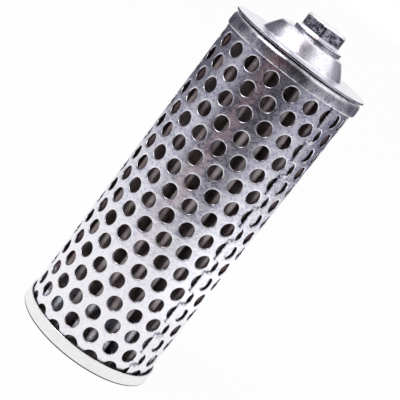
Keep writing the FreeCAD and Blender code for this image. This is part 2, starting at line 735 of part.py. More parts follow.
for thing in doc.Objects:
    if "Invalid" in thing.State or "Error" in thing.State:
        raise RuntimeError(f"{thing.Label} failed: {thing.State}")
for part in nodes:
    if part.Shape.isNull() or not part.Shape.isValid() or not part.Shape.Solids:
        raise RuntimeError(f"{part.Label} has no valid solid")
if len({part.Label for part in nodes}) != len(nodes):
    raise RuntimeError("two sub-parts share a name")

os.makedirs("parts", exist_ok=True)
for part in nodes:
    part.Shape.exportStep(f"parts/{part.Label}.step")
    box = part.Shape.BoundBox
    print(f"{part.Label:20s} solids {len(part.Shape.Solids)}  volume {part.Shape.Volume:9.1f}  "
          f"z {box.ZMin:7.2f} to {box.ZMax:7.2f}")
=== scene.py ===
import math
import random

import bmesh
import bpy
from mathutils import Matrix, Vector, noise


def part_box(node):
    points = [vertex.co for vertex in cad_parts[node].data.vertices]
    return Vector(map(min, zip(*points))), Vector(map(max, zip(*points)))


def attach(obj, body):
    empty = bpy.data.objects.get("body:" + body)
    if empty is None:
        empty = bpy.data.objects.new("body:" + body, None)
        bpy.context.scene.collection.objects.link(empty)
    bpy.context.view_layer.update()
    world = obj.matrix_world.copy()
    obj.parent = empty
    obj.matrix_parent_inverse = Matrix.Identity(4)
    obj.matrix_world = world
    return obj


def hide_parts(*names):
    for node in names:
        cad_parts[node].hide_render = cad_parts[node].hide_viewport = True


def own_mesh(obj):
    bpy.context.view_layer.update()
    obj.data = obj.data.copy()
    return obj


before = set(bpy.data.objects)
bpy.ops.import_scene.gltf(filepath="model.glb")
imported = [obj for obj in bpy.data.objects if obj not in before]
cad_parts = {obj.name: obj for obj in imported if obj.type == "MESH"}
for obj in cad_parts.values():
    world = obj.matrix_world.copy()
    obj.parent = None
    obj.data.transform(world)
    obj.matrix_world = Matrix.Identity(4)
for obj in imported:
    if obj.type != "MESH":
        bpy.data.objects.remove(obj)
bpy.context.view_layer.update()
mm = 0.001
scene = bpy.context.scene


# Camera: a long lens from the front, a little above the element, and rolled, so that the upright
# element lies slanting in the square picture.
camera_place = Vector((-0.6, -457.1, 180.0)) * mm
camera_yaw, camera_pitch, camera_roll = 0.0079, 0.2287, 0.6555
camera_data = bpy.data.cameras.new("camera")
camera_data.sensor_width = 36.0
camera_data.lens = 107.6
camera = bpy.data.objects.new("camera", camera_data)
scene.collection.objects.link(camera)
camera.matrix_world = (
    Matrix.Translation(camera_place)
    @ Matrix.Rotation(math.radians(90), 4, "X")
    @ Matrix.Rotation(-camera_yaw, 4, "Y")
    @ Matrix.Rotation(-camera_pitch, 4, "X")
    @ Matrix.Rotation(camera_roll, 4, "Z")
)
scene.camera = camera


# Bottom end cap: a cup pressed from thin tinned sheet, its floor drawn up into the inlet neck. The
# resin inside it holds the pleats, and the sleeve stands in its rim. A thin dark line of painted shade
# runs round its foot.
class Value:
    """One output of a shader node, on which arithmetic adds the Math nodes."""

    def __init__(self, nodes, socket):
        self.nodes, self.socket = nodes, socket

    def math(self, operation, *others):
        return self.nodes.math(operation, self, *others)

    def __add__(self, other):
        return self.math("ADD", other)

    def __sub__(self, other):
        return self.math("SUBTRACT", other)

    def __rsub__(self, other):
        return self.nodes.math("SUBTRACT", other, self)

    def __mul__(self, other):
        return self.math("MULTIPLY", other)

    def __truediv__(self, other):
        return self.math("DIVIDE", other)

    __radd__ = __add__
    __rmul__ = __mul__

    def root(self):
        return self.math("SQRT")

    def between(self, low, high):
        """0 below low, 1 above high and a smooth step from one to the other."""
        limits = {"Value": self, "From Min": low, "From Max": high}
        return self.nodes.node("ShaderNodeMapRange", {"interpolation_type": "SMOOTHSTEP"}, limits)

    def band(self, rise, fall, fade=1.0):
        """0 before the rise, 1 after it, and less by the fade after the fall, each a pair of limits."""
        return self.between(*rise) * (1.0 - fade * self.between(*fall))


class Nodes:
    """The node tree of a material or of the world."""

    def __init__(self, tree):
        self.tree = tree
        self.place = self.node("ShaderNodeTexCoord", {}, {}, "Object")

    def math(self, operation, *values):
        return self.node("ShaderNodeMath", {"operation": operation}, dict(enumerate(values)))

    def mix(self, factor, first, second):
        """A colour between two others."""
        return self.node("ShaderNodeMix", {"data_type": "RGBA"}, {0: factor, 6: first, 7: second}, 2)

    def split(self):
        """The three parts of the place on the object."""
        return [self.node("ShaderNodeSeparateXYZ", {}, {"Vector": self.place}, axis) for axis in "XYZ"]

    def node(self, kind, settings, inputs, output=0):
        """Add a node: its settings first, then the values or links of its sockets."""
        added = self.tree.nodes.new(kind)
        for name, setting in settings.items():
            setattr(added, name, setting)
        for name, value in inputs.items():
            self.feed(added.inputs[name], value)
        return Value(self, added.outputs[output])

    def feed(self, socket, value):
        if isinstance(value, Value):
            self.tree.links.new(value.socket, socket)
        elif isinstance(value, tuple) and len(value) == 3 and socket.type == "RGBA":
            socket.default_value = (*value, 1.0)
        else:
            socket.default_value = value


class Finish(Nodes):
    """A material with one Principled shader, whose sockets take numbers, colours or Values."""

    def __init__(self, name, **numbers):
        self.material = bpy.data.materials.new(name)
        self.material.use_nodes = True
        super().__init__(self.material.node_tree)
        self.shader = self.tree.nodes["Principled BSDF"]
        for socket, number in numbers.items():
            self.shader.inputs[socket.replace("_", " ")].default_value = number

    def set(self, socket, value):
        self.feed(self.shader.inputs[socket], value)

    def cloud(self, scale, detail=3.0, rough=0.5):
        """Soft noise from 0 to 1, with that many lumps to a metre."""
        inputs = {"Vector": self.place, "Scale": scale, "Detail": detail, "Roughness": rough}
        return self.node("ShaderNodeTexNoise", {}, inputs)

    def height(self, value, strength, distance):
        """A Bump node, fed into the shader's Normal."""
        inputs = {"Height": value, "Strength": strength, "Distance": distance}
        self.set("Normal", self.node("ShaderNodeBump", {}, inputs))


def add_piece(bm, name, finish, replaced=(), sharp_angle=30, modifiers=()):
    """Turn a bmesh into a smooth piece that rides on the element and stands for its CAD nodes."""
    for edge in bm.edges:
        if len(edge.link_faces) == 2:
            edge.smooth = edge.calc_face_angle(0.0) < math.radians(sharp_angle)
    for polygon in bm.faces:
        polygon.smooth = True
    mesh = bpy.data.meshes.new(name)
    bm.to_mesh(mesh)
    bm.free()
    piece = bpy.data.objects.new(name, mesh)
    scene.collection.objects.link(piece)
    piece.data.materials.append(finish.material)
    for kind, settings in modifiers:
        modifier = piece.modifiers.new(kind.lower(), kind)
        for setting, value in settings.items():
            setattr(modifier, setting, value)
    weighted = piece.modifiers.new("weighted", "WEIGHTED_NORMAL")
    weighted.keep_sharp = True
    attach(piece, "element")
    if replaced:
        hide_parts(*replaced)
    return piece


def spun(outline, slices=192, round_steps=5):
    """A closed ring about the axis, from corners of (radius, height, rounding), all in millimetres."""
    bm = bmesh.new()
    corners = [bm.verts.new((radius * mm, 0, height * mm)) for radius, height, _ in outline]
    bm.faces.new(corners)
    for corner, (_, _, rounding) in zip(corners, outline):
        if rounding:
            bmesh.ops.bevel(bm, geom=[corner], offset=rounding * mm, segments=round_steps, profile=0.5,
                            affect="VERTICES", material=-1)
    bmesh.ops.delete(bm, geom=bm.faces[:], context="FACES_ONLY")
    bmesh.ops.spin(bm, geom=bm.verts[:] + bm.edges[:], axis=(0, 0, 1), cent=(0, 0, 0), angle=math.tau,
                   steps=slices, use_merge=True)
    bmesh.ops.remove_doubles(bm, verts=bm.verts, dist=0.001 * mm)
    bmesh.ops.recalc_face_normals(bm, faces=bm.faces)
    return bm


def radius_of(node):
    """Outer radius of a CAD node that stands on the axis, in millimetres."""
    low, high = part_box(node)
    return (high.x - low.x) / 2 / mm


cap_sheet = 0.5
cap_radius = radius_of("bottom_end_cap")
plate_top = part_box("top_end_cap")[1].z / mm
rim_radius = cap_radius - 0.2
rim_height = 5.4
neck_inside, neck_top = 14.5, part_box("bottom_end_cap")[1].z / mm
foot_line = 0.65

tin_stain_and_shade_colour, tin_bright, tin_foot_shade_colour = (0.38, 0.38, 0.44), (0.94, 0.94, 0.94), (0.05, 0.05, 0.06)
tin_least_stain_and_shade, tin_slit_shade = 0.12, 0.8
tin = Finish("pressed_tin", Metallic=1.0)
tin_height = tin.split()[2] / mm
tin_dull = tin.cloud(260.0, 5.0, rough=0.6)
tin_speck = tin.cloud(1300.0, 3.0, rough=0.6)
tin_hidden = tin_height.between(plate_top - 0.06, plate_top - 0.01)
# Partly painted shade: the stain mottle is real, but it is painted stronger towards the top, so the top
# cup comes out darker than the bottom cup.
tin_stain_and_shade = tin_least_stain_and_shade + (1.0 - tin_least_stain_and_shade) * tin_height.between(20.0, 120.0)
tin_stain_and_shade = tin_stain_and_shade * (1.0 - (0.55 * tin_dull + 0.45 * tin_speck).between(0.38, 0.56))
# Painted shade: a thin dark band is painted round the very foot of the tin, just above the floor.
tin_foot_shade = 1.0 - tin_height.between(foot_line - 0.1, foot_line + 0.1)
tin_clean_and_lit = (1.0 - tin_stain_and_shade) * (1.0 - tin_slit_shade * tin_hidden)
tin_tone = tin.mix(tin_clean_and_lit, tin_stain_and_shade_colour, tin_bright)
tin.set("Base Color", tin.mix(tin_foot_shade, tin_tone, tin_foot_shade_colour))
tin.set("Roughness", 0.2 + 0.14 * tin_dull)
tin.height(tin_speck * 0.6 + tin_dull * 0.4, strength=0.7, distance=0.09 * mm)

bottom_cap = spun([
    (neck_inside, 0.0, 0.5),
    (cap_radius, 0.0, 0.5),
    (rim_radius, rim_height, 0.15),
    (rim_radius - cap_sheet, rim_height, 0.15),
    (cap_radius - cap_sheet, cap_sheet, 0.3),
    (neck_inside + cap_sheet, cap_sheet, 0.2),
    (neck_inside + cap_sheet, neck_top, 0.1),
    (neck_inside, neck_top, 0.1),
])
add_piece(bottom_cap, "bottom_cup", tin, replaced=["bottom_end_cap"])


# Outer sleeve: galvanised sheet punched with round holes in staggered rows, rolled a little over one
# turn and spot welded where it laps over its own start. The cut edge runs through a column of holes.
sleeve_low, sleeve_high = (corner.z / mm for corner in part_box("outer_sleeve"))
sleeve_radius, sleeve_middle = 29.3, -0.4
sleeve_sheet = 0.6
roll_in = 0.72
hole_radius = 3.0
column_pitch, row_pitch = 9.31, 7.93
first_row, row_count = 4.45, 17
last_column = 20
cut_edge = 1.3
rim_steps = ((3.44, 0.0), (3.16, 0.09), (hole_radius, 0.21))
seam_turn = math.radians(-42.4)
lip_low = plate_top - 5.55
crease = 0.35


def punched_cell():
    """One hole in its rectangle of sheet: a ring of faces between the hole and the rectangle."""
    bm = bmesh.new()
    edges_a_side, half = 8, 0.5
    bmesh.ops.create_grid(bm, x_segments=edges_a_side, y_segments=edges_a_side, size=half)
    bmesh.ops.delete(bm, geom=bm.faces[:], context="FACES_ONLY")
    inner = [vert for vert in bm.verts if max(abs(vert.co.x), abs(vert.co.y)) < half - 0.001]
    bmesh.ops.delete(bm, geom=inner, context="VERTS")
    bmesh.ops.scale(bm, vec=(column_pitch * mm, row_pitch * mm, 1.0), verts=bm.verts)
    border = bm.edges[:]
    rings = []
    for radius, sunk in rim_steps:
        spot = Matrix.Translation((0, 0, -sunk * mm)) @ Matrix.Rotation(math.radians(45), 4, "Z")
        circle = bmesh.ops.create_circle(bm, segments=4 * edges_a_side, radius=radius * mm, matrix=spot)
        ring = circle["verts"]
        rings.append(list({edge for vert in ring for edge in vert.link_edges}))
    for outside, inside in zip([border] + rings, rings):
        bmesh.ops.bridge_loops(bm, edges=outside + inside)
    return bm


def flat_sheet():
    """The punched blank, lying flat: x along the roll from the first column, y up, both in metres."""
    cell = punched_cell()
    cell_mesh = bpy.data.meshes.new("cell")
    cell.to_mesh(cell_mesh)
    cell.free()
    bm = bmesh.new()
    for row in range(row_count):
        stagger = 0.5 if row % 2 == 0 else 0.0
        for column in range(-1, last_column + 2):
            start = len(bm.verts)
            bm.from_mesh(cell_mesh)
            bm.verts.ensure_lookup_table()
            move = ((column + stagger) * column_pitch * mm, (first_row + row * row_pitch) * mm, 0)
            bmesh.ops.translate(bm, vec=move, verts=bm.verts[start:])
    bpy.data.meshes.remove(cell_mesh)
    bmesh.ops.remove_doubles(bm, verts=bm.verts, dist=0.01 * mm)
    for edge_x, away in ((-cut_edge, -1), (last_column * column_pitch + cut_edge, 1)):
        bmesh.ops.bisect_plane(bm, geom=bm.verts[:] + bm.edges[:] + bm.faces[:], dist=0.001 * mm,
                               plane_co=(edge_x * mm, 0, 0), plane_no=(away, 0, 0), clear_outer=True)
    top = max(vert.co.y for vert in bm.verts)
    brim = [edge for edge in bm.edges if all(vert.co.y > top - 0.01 * mm for vert in edge.verts)]
    raised = bmesh.ops.extrude_edge_only(bm, edges=brim)["geom"]
    for vert in (item for item in raised if isinstance(item, bmesh.types.BMVert)):
        vert.co.y = sleeve_high * mm
    for vert in bm.verts:
        vert.co.y = max(vert.co.y, sleeve_low * mm)
    return bm


def roll_up(bm):
    """Wrap the flat blank round the axis as a spiral, which starts outside and winds inwards."""
    for vert in bm.verts:
        along, up, proud = vert.co.x / mm + cut_edge, vert.co.y, vert.co.z
        turn = along / sleeve_radius
        for _ in range(3):  # closes in on the turn at which the spiral is that long
            turn = (along + roll_in * turn * turn / (2 * math.tau)) / sleeve_radius
        reach = (sleeve_radius - roll_in * turn / math.tau) * mm + proud
        turn += seam_turn
        vert.co = (reach * math.cos(turn) + sleeve_middle * mm, reach * math.sin(turn), up)


zinc_stain_and_shade_colour, zinc_bright = (0.44, 0.45, 0.60), (0.97, 0.96, 1.0)
zinc_least_stain_and_shade, zinc_lip_shade_depth = 0.25, 0.75
zinc = Finish("galvanised_sheet", Metallic=1.0)
zinc_spangle = zinc.node("ShaderNodeTexVoronoi", {}, {"Vector": zinc.place, "Scale": 1100.0}, "Color")
zinc_facet = zinc.node("ShaderNodeSeparateColor", {}, {"Color": zinc_spangle}, 0)
zinc_cloud = zinc.cloud(70.0, 5.0)
zinc_fine = zinc.cloud(1700.0, 3.0, rough=0.6)
zinc_tone = zinc_facet * 0.25 + zinc_fine * 0.4 + zinc_cloud * 0.35
zinc_height = zinc.split()[2] / mm
# Painted shade: a narrow band of the sleeve just under the top cap's rolled lip is darkened.
zinc_lip_shade = zinc_lip_shade_depth * zinc_height.between(lip_low - crease, lip_low)
# Partly painted shade: the spangle stain is real, but it is painted stronger towards the top, so the
# sleeve is darker high up and whiter low down.
zinc_stain_and_shade = zinc_least_stain_and_shade + (1.0 - zinc_least_stain_and_shade) * zinc_height.between(25.0, 115.0)
zinc_stain_and_shade = zinc_stain_and_shade * (1.0 - zinc_tone.between(0.32, 0.56))
zinc_clean_and_lit = (1.0 - zinc_stain_and_shade) * (1.0 - zinc_lip_shade)
zinc.set("Base Color", zinc.mix(zinc_clean_and_lit, zinc_stain_and_shade_colour, zinc_bright))
zinc.set("Roughness", 0.18 + 0.18 * zinc_tone)
zinc.height(zinc_facet * 0.25 + zinc_fine * 0.75, strength=0.6, distance=0.07 * mm)

sleeve = flat_sheet()
roll_up(sleeve)
bmesh.ops.recalc_face_normals(sleeve, faces=sleeve.faces)
outward = sum(face.normal.dot(face.calc_center_median().xy.to_3d()) for face in sleeve.faces[:200])
if outward < 0:
    bmesh.ops.reverse_faces(sleeve, faces=sleeve.faces)
add_piece(sleeve, "punched_sleeve", zinc, replaced=["outer_sleeve"], modifiers=[
    ("SOLIDIFY", {"thickness": sleeve_sheet * mm, "offset": -1.0}),
])


# Welds and burrs along the seam: the punch left a burr below each hole beside the outer cut edge, and
# in two rows a spot weld caught it. They are small uneven lumps of bright metal, proud of the sheet.
bright = Finish("bright_weld", Metallic=0.45)
bright_rough = bright.cloud(1500.0, 4.0)
bright.set("Base Color", bright.mix(bright_rough, (0.86, 0.86, 0.90), (1.0, 1.0, 1.0)))
bright.set("Roughness", 0.25 + 0.2 * bright_rough)
bright.height(bright_rough, strength=0.6, distance=0.15 * mm)

welded_rows = (3, 11)
weld_size, notch_burr_size, hole_burr_size = (1.7, 1.2, 0.5), (1.4, 0.6, 0.45), (0.9, 0.4, 0.35)
lump_unevenness, lump_grain, lump_proud = 0.45, 1400.0, 0.05
lumps = bmesh.new()
lumpy = random.Random(5)
for row in range(row_count - 1):
    if row in welded_rows:
        along, drop, size = 1.0, 3.4, weld_size
    elif row % 2:
        along, drop, size = 0.9, 3.0, notch_burr_size
    else:
        along, drop, size = column_pitch / 2 + 1.1, 2.75, hole_burr_size
    size = [length * lumpy.uniform(0.8, 1.15) * mm for length in size]
    spot = Vector((along, first_row + row * row_pitch - drop, lump_proud)) * mm
    lean = Matrix.Rotation(lumpy.uniform(0.1, 0.5), 4, "Z")
    place = Matrix.Translation(spot) @ lean @ Matrix.Diagonal((*size, 1.0))
    added = bmesh.ops.create_icosphere(lumps, subdivisions=3, radius=1.0, matrix=place)["verts"]
    for vert in added:
        uneven_reach = 1.0 + lump_unevenness * noise.noise(vert.co * lump_grain)
        vert.co = spot + (vert.co - spot) * uneven_reach
roll_up(lumps)
bmesh.ops.recalc_face_normals(lumps, faces=lumps.faces)
add_piece(lumps, "seam_welds", bright, sharp_angle=80)


# Pleats: glass fibre media folded between two woven wire meshes. Only the outer mesh shows, as
# upright ridges behind the holes, which were never quite evenly spaced, tall or straight.
pleat_count = 25
pack_turn = math.radians(10.24)
pack_low, pack_high = (corner.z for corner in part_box("outer_support_mesh"))
tip_radius, root_radius = 27.15, 17.5
tip_gap = 0.2
ridge_half, valley_half = 1.35, 0.75
fold_radius, most_rounded = 1.3, 0.98
turn_unevenness, height_unevenness = 0.012, 0.35
leaning_side = 0.78
fold_layers = 40
waves_round, waves_up, sway_most = 9, 45, 0.011
pinch_grain, pinch_shift, pinch_most = 1.7, Vector((3, 1, 5)), 0.01


def sleeve_inside(angle):
    """Distance from the axis to the inside of the rolled sleeve, in millimetres."""
    lap = (last_column * column_pitch + 2 * cut_edge) / sleeve_radius - math.tau
    turn = lap + (angle - seam_turn - lap) % math.tau
    return sleeve_radius - sleeve_sheet - roll_in * turn / math.tau + sleeve_middle * math.cos(angle)


def fold_corners(inset):
    """Corners of the folded sheet on the floor plane, that far inside the outer mesh. The pleats at
    the two sides lean on the sleeve."""
    uneven = random.Random(7)
    corners = []
    for pleat in range(pleat_count):
        for reach, half, turn in ((tip_radius - inset, ridge_half - inset, pleat),
                                  (root_radius - inset, valley_half + inset, pleat + 0.5)):
            angle = math.pi / 2 + pack_turn + math.tau * turn / pleat_count
            angle += uneven.uniform(-turn_unevenness, turn_unevenness)
            reach -= uneven.uniform(0.0, height_unevenness)
            if turn == pleat and abs(math.cos(angle)) > leaning_side:
                reach = sleeve_inside(angle) - tip_gap - inset
            for across in (-half, half):
                corners.append((reach * math.cos(angle) - across * math.sin(angle),
                                reach * math.sin(angle) + across * math.cos(angle)))
    return corners


def folded_layer(inset):
    """One layer of the pack as a closed folded sheet with rounded folds, a little wavy up its height."""
    bm = bmesh.new()
    folds = [bm.verts.new((x * mm, y * mm, pack_low)) for x, y in fold_corners(inset)]
    bm.faces.new(folds)
    rounding = min(fold_radius, ridge_half - inset) * most_rounded * mm
    bmesh.ops.bevel(bm, geom=folds, offset=rounding, segments=4, profile=0.5,
                    affect="VERTICES", material=-1)
    bmesh.ops.delete(bm, geom=bm.faces[:], context="FACES_ONLY")
    ring = bm.edges[:]
    for layer in range(1, fold_layers + 1):
        raised = bmesh.ops.extrude_edge_only(bm, edges=ring)["geom"]
        ring = [item for item in raised if isinstance(item, bmesh.types.BMEdge)]
        for vert in (item for item in raised if isinstance(item, bmesh.types.BMVert)):
            vert.co.z = pack_low + (pack_high - pack_low) * layer / fold_layers
    for vert in bm.verts:
        angle = math.atan2(vert.co.y, vert.co.x)
        spot = Vector((waves_round * math.cos(angle), waves_round * math.sin(angle), waves_up * vert.co.z))
        sway = sway_most * noise.noise(spot)
        pinch = pinch_most * max(0.0, noise.noise(spot * pinch_grain + pinch_shift))
        vert.co.xy = Matrix.Rotation(sway, 2) @ vert.co.xy * (1.0 - pinch)
    bmesh.ops.recalc_face_normals(bm, faces=bm.faces)
    return bm


mesh_dark, mesh_worn, mesh_bright = (0.17, 0.11, 0.11), (0.71, 0.65, 0.65), (0.86, 0.90, 0.98)
warp_wires, weft_radians_per_mm = 1100.0, 14.0
mesh_cloth = Finish("woven_mesh", Metallic=0.9)
mesh_x, mesh_y, mesh_z = (part / mm for part in mesh_cloth.split())
mesh_round = mesh_cloth.math("ARCTAN2", mesh_y, mesh_x)
mesh_warp = mesh_cloth.math("SINE", mesh_round * warp_wires)
mesh_weft = mesh_cloth.math("SINE", mesh_z * weft_radians_per_mm)
mesh_weave = mesh_warp * mesh_weft
mesh_shade = mesh_cloth.cloud(130.0, 4.0)
# Painted shade: the mesh is painted much darker at the two sides of the pack, where the holes look in at a
# slant.
mesh_side_shade = mesh_cloth.math("ABSOLUTE", mesh_x).between(0.74 * tip_radius, 0.9 * tip_radius)
mesh_clean_and_lit = 0.12 + 0.64 * mesh_shade.between(0.3, 0.7) + 0.12 * (mesh_weave + 1.0)
mesh_clean_and_lit = mesh_clean_and_lit * (1.0 - 0.85 * mesh_side_shade)
mesh_tone = mesh_cloth.mix(mesh_clean_and_lit, mesh_dark, mesh_worn)
# Brighter bluish patches on the mesh, only towards the bottom of the pack.
mesh_low_bright_patches = (1.0 - mesh_z.between(14.0, 30.0)) * mesh_cloth.cloud(170.0, 3.0).between(0.48, 0.58)
mesh_cloth.set("Base Color", mesh_cloth.mix(mesh_low_bright_patches, mesh_tone, mesh_bright))
mesh_cloth.set("Roughness", 0.42 + 0.2 * mesh_shade)
mesh_cloth.height(mesh_weave, strength=0.35, distance=0.1 * mm)

media = Finish("glass_fibre", Roughness=0.9)
media.set("Base Color", media.mix(media.cloud(300.0), (0.70, 0.66, 0.58), (0.84, 0.81, 0.74)))
for layer_name, node, finish, slot, inset, thickness in (
        ("mesh_pleats", "outer_support_mesh", mesh_cloth, "woven_mesh", 0.0, 0.2),
        ("media_pleats", "filter_media", media, "glass_fibre_media", 0.22, 0.36),
        ("inner_mesh_pleats", "inner_support_mesh", mesh_cloth, "woven_mesh", 0.6, 0.18)):
    add_piece(folded_layer(inset), layer_name, finish, replaced=[node], sharp_angle=60,
              modifiers=[("SOLIDIFY", {"thickness": thickness * mm, "offset": -1.0})])


# Top end cap: the same thin sheet, pressed to a cup whose lip is rolled in onto the sleeve and whose
# middle is drawn down into the valve's well. It and what is bolted on it sit a little crooked.
top_low, top_high = (corner.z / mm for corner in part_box("top_end_cap"))
bulge_radius = radius_of("top_end_cap")
lip_radius = bulge_radius - 0.25
lip_turn, lip_inset = 1.3, 0.17
shoulder = 2.0
seat_radius = 10.5
crooked_rise, crooked_slope = 0.25, 0.0085


def set_crooked(bm, low, high):
    """Raise what lies above a height by the little that the cap and its cover sit crooked."""
    for vert in bm.verts:
        share = min(max((vert.co.z / mm - low) / (high - low), 0.0), 1.0)
        vert.co.z += share * (crooked_rise * mm - crooked_slope * vert.co.x)


top_cap = spun([
    (seat_radius, top_low, 0.1),
    (neck_inside + cap_sheet, top_low, 0.3),
    (neck_inside + cap_sheet, top_high - cap_sheet, 0.9),
    (lip_radius - cap_sheet, top_high - cap_sheet, shoulder - cap_sheet),
    (bulge_radius - cap_sheet, lip_low + lip_turn, 0.6),
    (bulge_radius - lip_inset - cap_sheet, lip_low, 0.1),
    (bulge_radius - lip_inset, lip_low, 0.35),
    (bulge_radius, lip_low + lip_turn, 1.2),
    (lip_radius, top_high, shoulder),
    (neck_inside, top_high, 1.4),
    (neck_inside, top_low + cap_sheet, 0.2),
    (seat_radius, top_low + cap_sheet, 0.1),
])
set_crooked(top_cap, top_low, top_high)
add_piece(top_cap, "top_cup", tin, replaced=["top_end_cap"])


# Valve cover: one disc of bright plated sheet with its middle pressed up into a dome, bolted down a
# hair above the top cap so that the bypassed oil leaves through the slit.
cover_low, cover_high = (corner.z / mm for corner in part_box("valve_cover"))
cover_sheet = 0.8
cover_radius = radius_of("valve_cover")
cover_top = cover_low + cover_sheet
dome_foot, dome_shoulder, cover_hole = 18.5, 13.4, 6.4
cover_inset = 0.42
dome_bulge = 0.25

plated_worn, plated_bright = (0.56, 0.56, 0.63), (0.88, 0.87, 0.91)
plated = Finish("plated_cover", Metallic=1.0)
plated_cloud = plated.cloud(240.0, 4.0)
plated_fine = plated.cloud(1300.0, 3.0, rough=0.6)
plated_clean = (0.55 * plated_cloud + 0.45 * plated_fine).between(0.36, 0.54)
plated.set("Base Color", plated.mix(plated_clean, plated_worn, plated_bright))
plated.set("Roughness", 0.17 + 0.16 * plated_cloud)
plated.height(plated_fine * 0.6 + plated_cloud * 0.4, strength=0.6, distance=0.07 * mm)

cover = spun([
    (cover_hole, cover_high - cover_sheet, 0.05),
    (dome_shoulder - cover_inset, cover_high - cover_sheet, 1.4),
    (dome_foot - cover_inset, cover_low, 1.2),
    (cover_radius, cover_low, 0.1),
    (cover_radius, cover_top, 0.12),
    (dome_foot, cover_top, 0.8),
    ((dome_foot + dome_shoulder) / 2 + dome_bulge, (cover_top + cover_high) / 2 + dome_bulge, 3.0),
    (dome_shoulder, cover_high, 2.1),
    (cover_hole, cover_high, 0.05),
], round_steps=8)
set_crooked(cover, top_low, cover_low)
add_piece(cover, "domed_cover", plated, replaced=["valve_cover"])


# Washer and bolt: a flat washer under a forged hexagon head, whose flats are hollow at the foot and
# which is chamfered on top and dull from handling. The shank runs down through the whole valve.
washer_low, washer_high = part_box("cover_washer")
washer_middle = (washer_low.x + washer_high.x) / 2
washer_radius = (washer_high.x - washer_low.x) / 2 / mm
bolt_low, bolt_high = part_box("cover_bolt")
bolt_middle = (bolt_low.x + bolt_high.x) / 2
across_flats = (bolt_high.x - bolt_low.x) / mm
shank_radius = 5.0

washer_hole = shank_radius + 0.55
washer = spun([
    (washer_hole, washer_low.z / mm, 0.1),
    (washer_radius, washer_low.z / mm, 0.25),
    (washer_radius, washer_high.z / mm, 0.25),
    (washer_hole, washer_high.z / mm, 0.1),
])
bmesh.ops.translate(washer, vec=(washer_middle, 0, 0), verts=washer.verts)
set_crooked(washer, top_low, cover_low)
add_piece(washer, "flat_washer", plated, replaced=["cover_washer"])

head_low = washer_high.z / mm + crooked_rise
head_high = bolt_high.z / mm
dull_dark, dull_bright = (0.09, 0.09, 0.13), (0.92, 0.92, 0.95)
dull = Finish("bolt_steel", Metallic=1.0)
dull_x, dull_y, dull_z = (part / mm for part in dull.split())
dull_cloud = dull.cloud(520.0, 5.0, rough=0.6)
dull_fine = dull.cloud(1900.0, 3.0, rough=0.6)
dull_scale = (0.5 * dull_cloud + 0.5 * dull_fine).between(0.45, 0.59)
dull_turn = dull.math("ARCTAN2", dull_x - bolt_middle / mm, dull_y)
from_corner = dull.math("PINGPONG", dull_turn, math.pi / 6)
dull_ends = dull_z.between(head_high - 0.9, head_high - 0.6)
dull_ends = dull_ends + 1.0 - dull_z.between(head_low + 1.0, head_low + 1.6)
# Painted reflection: a dark line is painted down each corner of the head, between its two bright ends.
dull_corner_shade = (1.0 - from_corner.between(0.015, 0.04)) * (1.0 - dull_ends)
dull_clean_and_lit = (dull_scale + (1.0 - dull_scale) * dull_ends) * (1.0 - dull_corner_shade)
dull.set("Base Color", dull.mix(dull_clean_and_lit, dull_dark, dull_bright))
dull.set("Roughness", 0.26 + 0.16 * dull_cloud)
dull.height(dull_cloud * 0.5 + dull_fine * 0.5, strength=0.6, distance=0.08 * mm)

corner_radius = across_flats / math.sqrt(3) - 0.12
foot_high, foot_hollow, foot_steps = 1.4, 0.6, 6
foot_rings = [(corner_radius, head_low + foot_high * ring / foot_steps, 0)
              for ring in range(foot_steps + 1)]
shank_chamfer, head_chamfer = 1.0, 0.5
bolt_core = 1.5
bolt = spun([
    (bolt_core, bolt_low.z / mm, 0),
    (shank_radius - shank_chamfer, bolt_low.z / mm, 0),
    (shank_radius, bolt_low.z / mm + shank_chamfer, 0),
    (shank_radius, head_low, 0),
    *foot_rings,
    (corner_radius, head_high - 1.5 * head_chamfer, 0),
    (corner_radius - head_chamfer, head_high - head_chamfer, 0),
    (across_flats / 2 - 0.3, head_high, 0),
    (bolt_core, head_high, 0),
], slices=360)
# The spun ring is hollow: the wall of its core goes, and its two ends are closed.
core_wall = [face for face in bolt.faces
             if all(vert.co.xy.length < (bolt_core + 0.01) * mm for vert in face.verts)]
bmesh.ops.delete(bolt, geom=core_wall, context="FACES")
bmesh.ops.holes_fill(bolt, edges=[edge for edge in bolt.edges if edge.is_boundary])
for vert in bolt.verts:
    if vert.co.z > (head_low - 0.01) * mm:
        angle = math.atan2(vert.co.x, vert.co.y)
        wedge = (angle + math.pi / 6) % (math.pi / 3) - math.pi / 6
        sunk = foot_hollow * max(0.0, 1.0 - (vert.co.z / mm - head_low) / foot_high) ** 2
        flat = (across_flats / 2 - sunk) / math.cos(wedge - math.copysign(math.pi / 6, wedge)) * mm
        reach = math.hypot(vert.co.x, vert.co.y)
        if reach > flat:
            vert.co.x *= flat / reach
            vert.co.y *= flat / reach
bmesh.ops.translate(bolt, vec=(bolt_middle, 0, 0), verts=bolt.verts)
bmesh.ops.recalc_face_normals(bolt, faces=bolt.faces)
add_piece(bolt, "hexagon_bolt", dull, replaced=["cover_bolt"], sharp_angle=15)


